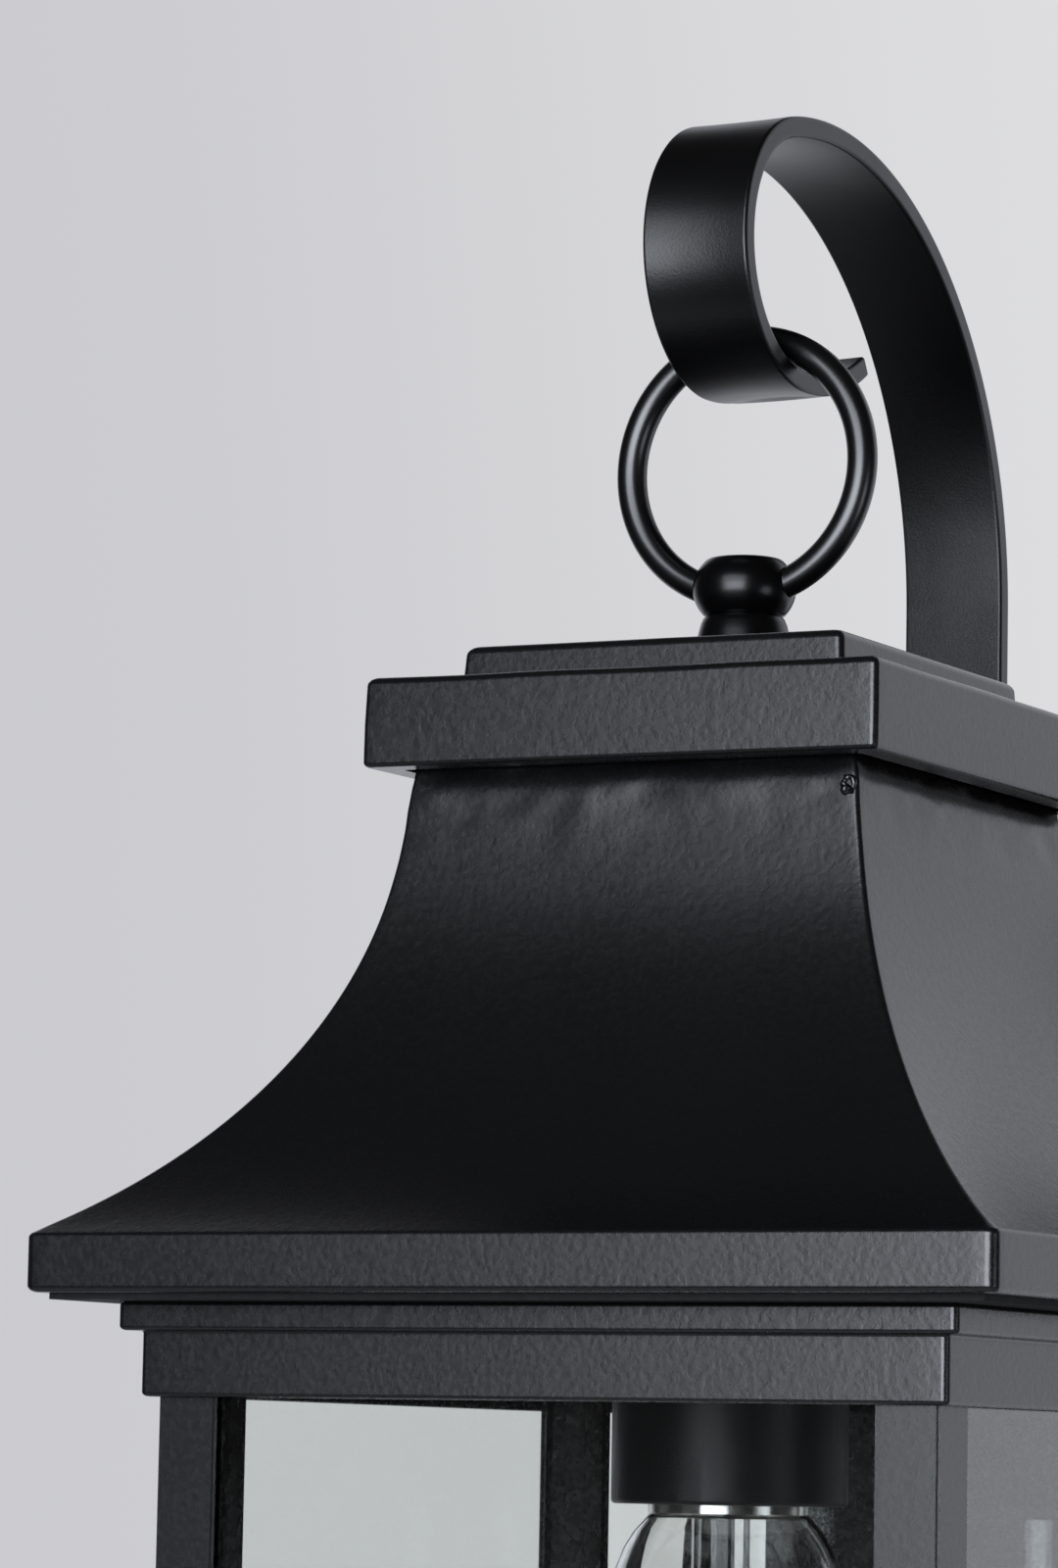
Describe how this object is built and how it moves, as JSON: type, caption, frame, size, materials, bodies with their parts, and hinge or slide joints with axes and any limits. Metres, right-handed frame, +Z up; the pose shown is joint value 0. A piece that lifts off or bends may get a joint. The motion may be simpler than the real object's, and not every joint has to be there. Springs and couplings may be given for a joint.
{
  "type": "outdoor wall sconce",
  "caption": "Outdoor wall lantern with a black bell-cast roof on a glazed square cage, its ring finial hung in a flat-bar crook arm, with a clear bulb.",
  "frame": {"origin": "middle of the back plate on the wall plane", "axes": "+X to the right seen from the front, +Y into the wall, +Z up; the lantern stands out towards -Y"},
  "size_m": [0.165, 0.1905, 0.3997],
  "materials": {
    "black_coat": "satin sand-textured powder coat",
    "black_hardware": "smooth satin black",
    "cup_plastic": "fine-textured black",
    "pane_glass": "clear, faint grey-green edge",
    "bulb_clear": "clear blown",
    "zinc": "zinc plated",
    "nickel": "nickel plated, drawn",
    "brass": "plain",
    "ground_green": "green plated",
    "porcelain": "glazed",
    "vitrite": "black glass",
    "foam": "closed-cell foam"
  },
  "bodies": {
    "root": {"roof_shell": "black_coat", "cap_box": "black_coat", "cap_plate": "black_coat", "top_frame": "black_coat", "bottom_frame": "black_coat", "front_left_post": "black_coat", "front_right_post": "black_coat", "rear_left_post": "black_coat", "rear_right_post": "black_coat", "back_plate": "black_coat", "neck_block": "black_coat", "lamp_plate": "black_coat", "finial": "black_hardware", "hanging_ring": "black_hardware", "hook_arm": "black_hardware", "cap_nuts": "black_hardware", "arm_screws": "black_hardware", "socket_cup": "cup_plastic", "front_glass": "pane_glass", "rear_glass": "pane_glass", "left_glass": "pane_glass", "right_glass": "pane_glass", "bulb_glass": "bulb_clear", "bulb_stem": "bulb_clear", "arm_nuts": "zinc", "neck_screws": "zinc", "top_screws": "zinc", "bottom_screws": "zinc", "bridge_screws": "zinc", "centre_pipe": "zinc", "pipe_nuts": "zinc", "socket_bridge": "zinc", "box_strap": "zinc", "stud_strap": "zinc", "plate_studs": "zinc", "bulb_cap": "nickel", "screw_shell": "nickel", "bulb_filament": "nickel", "holder_contact": "brass", "bulb_contact": "brass", "ground_screw": "ground_green", "lamp_holder": "porcelain", "bulb_insulator": "vitrite", "wall_gasket": "foam"}
  },
  "joints": []
}
